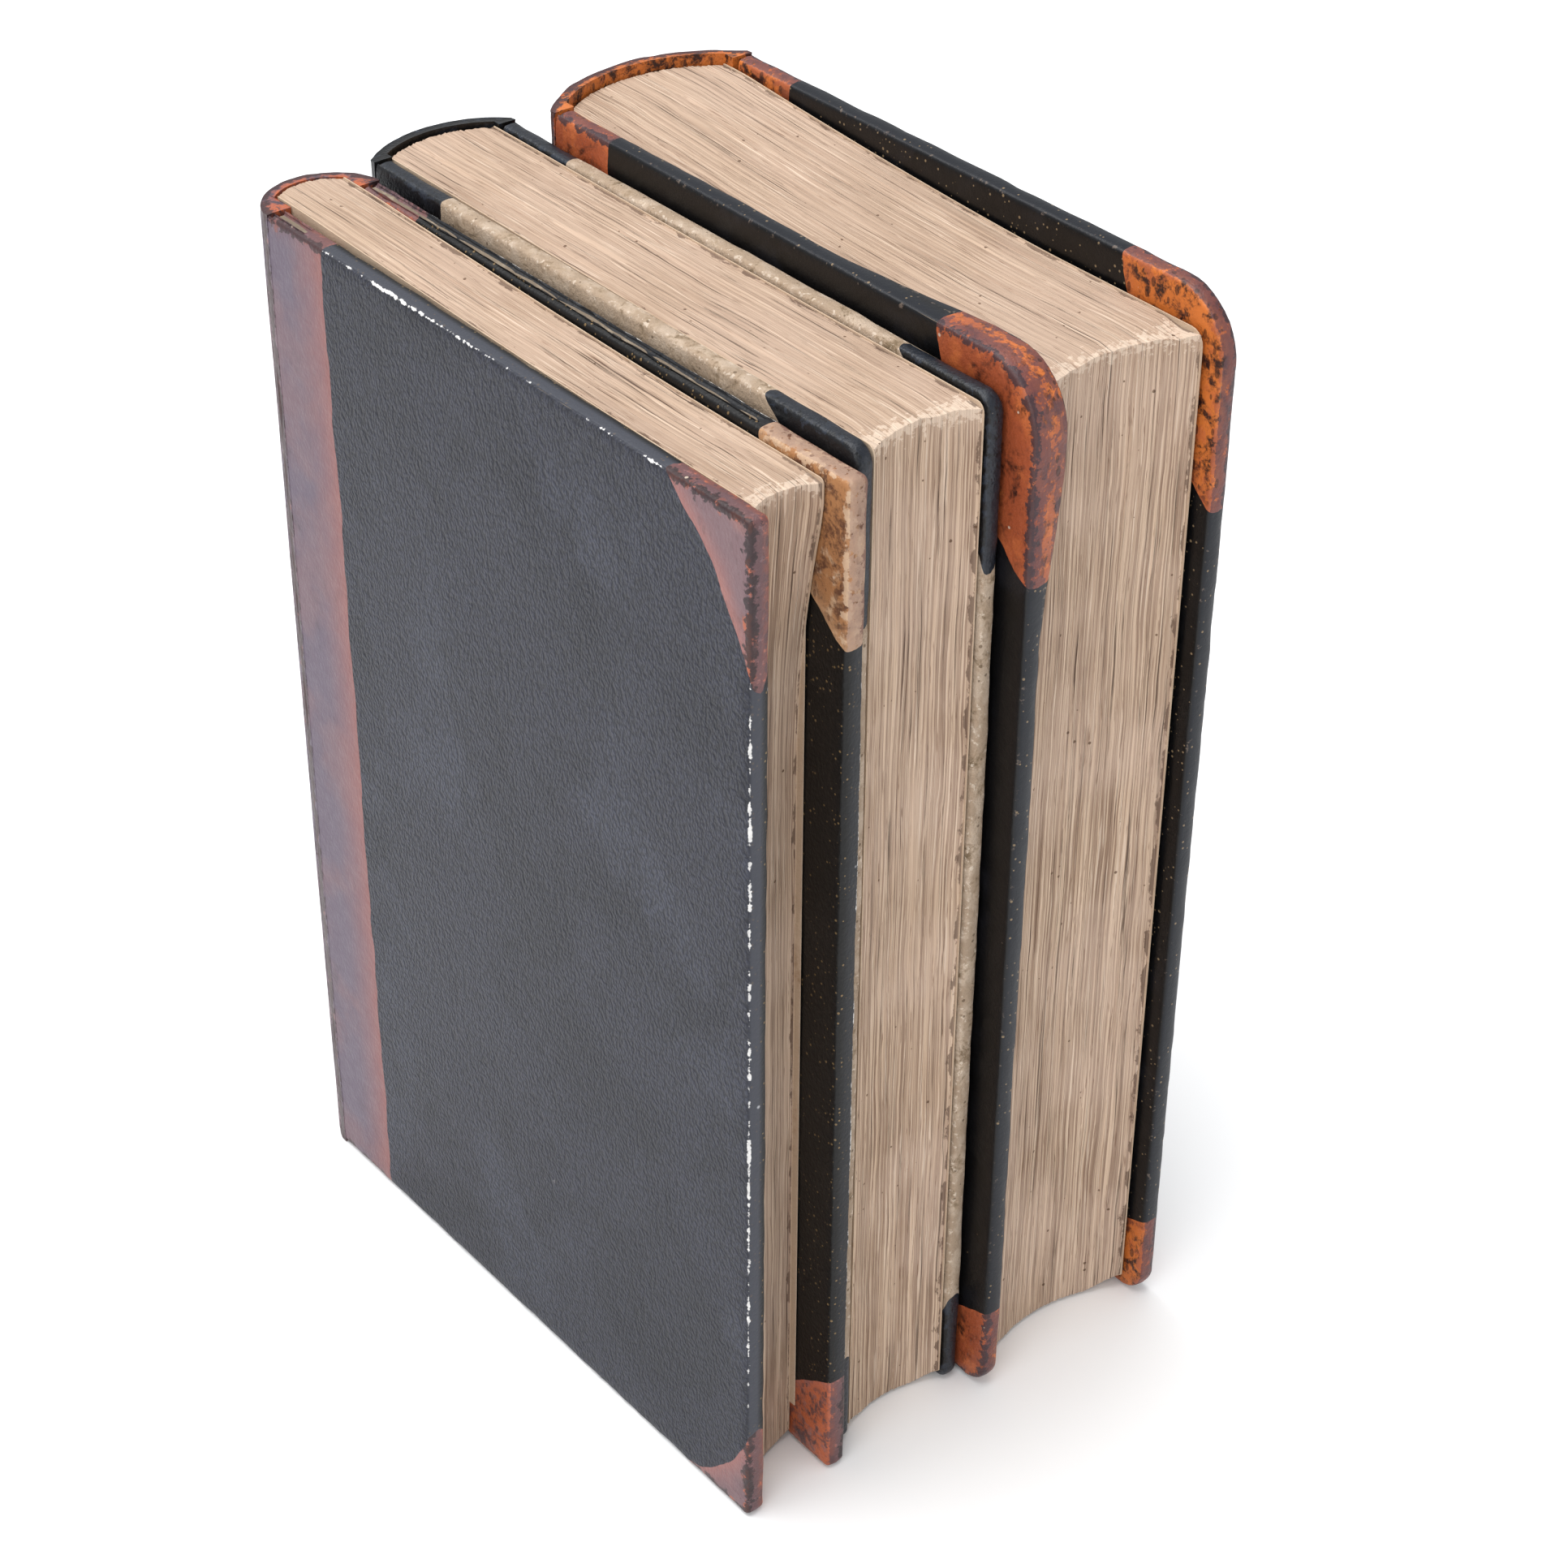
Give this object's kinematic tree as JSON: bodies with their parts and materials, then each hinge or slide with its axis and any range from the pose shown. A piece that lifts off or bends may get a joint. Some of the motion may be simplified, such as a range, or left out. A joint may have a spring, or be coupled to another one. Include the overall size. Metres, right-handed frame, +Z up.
{
  "type": "prayer book",
  "caption": "Small half-leather prayer book bound in several volumes that stand in a row; the outer covers open and the outer volumes pull out.",
  "frame": {"origin": "on the shelf, under the middle of the row's outline", "axes": "+X through the row from the left volume to the right, +Y from the fore-edges to the spines, +Z up from the tail edges to the head"},
  "size_m": [0.072, 0.105, 0.155],
  "materials": {
    "leaves": "aged rag paper, cut edges toned and streaked",
    "end_papers": "aged laid paper, foxed",
    "lining_paper": "brown paper with glue",
    "mill_board": "grey-brown mill board",
    "cords": "hemp cord",
    "slate_cloth": "grained book cloth, satin, edges rubbed white",
    "buff_paper": "worn buff paper side",
    "black_cloth": "black varnished cloth with pale specks",
    "brown_leather": "rubbed calf, orange where worn",
    "black_leather": "black calf, satin",
    "russet_leather": "russet calf with dark purple patina on its ridges"
  },
  "bodies": {
    "middle_book": {"middle_front_board": "mill_board", "middle_front_flyleaf": "end_papers", "middle_front_head_corner": "black_leather", "middle_front_joint_leather": "black_leather", "middle_front_pastedown": "end_papers", "middle_front_side": "buff_paper", "middle_front_tail_corner": "black_leather", "middle_rear_board": "mill_board", "middle_rear_flyleaf": "end_papers", "middle_rear_head_corner": "black_leather", "middle_rear_joint_leather": "black_leather", "middle_rear_pastedown": "end_papers", "middle_rear_side": "buff_paper", "middle_rear_tail_corner": "black_leather", "middle_sections": "leaves", "middle_sewing_cords": "cords", "middle_spine_hollow": "mill_board", "middle_spine_leather": "black_leather", "middle_spine_lining": "lining_paper"},
    "left_book": {"left_front_flyleaf": "end_papers", "left_rear_board": "mill_board", "left_rear_flyleaf": "end_papers", "left_rear_head_corner": "brown_leather", "left_rear_joint_leather": "brown_leather", "left_rear_pastedown": "end_papers", "left_rear_side": "slate_cloth", "left_rear_tail_corner": "brown_leather", "left_sections": "leaves", "left_sewing_cords": "cords", "left_spine_hollow": "mill_board", "left_spine_leather": "brown_leather", "left_spine_lining": "lining_paper"},
    "left_front_cover": {"left_front_board": "mill_board", "left_front_head_corner": "brown_leather", "left_front_joint_leather": "brown_leather", "left_front_pastedown": "end_papers", "left_front_side": "slate_cloth", "left_front_tail_corner": "brown_leather"},
    "right_book": {"right_front_board": "mill_board", "right_front_flyleaf": "end_papers", "right_front_head_corner": "russet_leather", "right_front_joint_leather": "russet_leather", "right_front_pastedown": "end_papers", "right_front_side": "black_cloth", "right_front_tail_corner": "russet_leather", "right_rear_flyleaf": "end_papers", "right_sections": "leaves", "right_sewing_cords": "cords", "right_spine_hollow": "mill_board", "right_spine_leather": "russet_leather", "right_spine_lining": "lining_paper"},
    "right_rear_cover": {"right_rear_board": "mill_board", "right_rear_head_corner": "russet_leather", "right_rear_joint_leather": "russet_leather", "right_rear_pastedown": "end_papers", "right_rear_side": "black_cloth", "right_rear_tail_corner": "russet_leather"}
  },
  "joints": [
    {"name": "left_book_slide", "type": "slide", "parent": "middle_book", "child": "left_book", "axis": [0, 1, 0], "range_m": [0, 0.1]},
    {"name": "left_front_cover_hinge", "type": "hinge", "parent": "left_book", "child": "left_front_cover", "pos_m": [-0.036, 0.04495, 0], "axis": [0, 0, -1], "range_deg": [0, 165]},
    {"name": "right_book_slide", "type": "slide", "parent": "middle_book", "child": "right_book", "axis": [0, 1, 0], "range_m": [0, 0.1]},
    {"name": "right_rear_cover_hinge", "type": "hinge", "parent": "right_book", "child": "right_rear_cover", "pos_m": [0.036, 0.03895, 0], "axis": [0, 0, 1], "range_deg": [0, 165]}
  ]
}
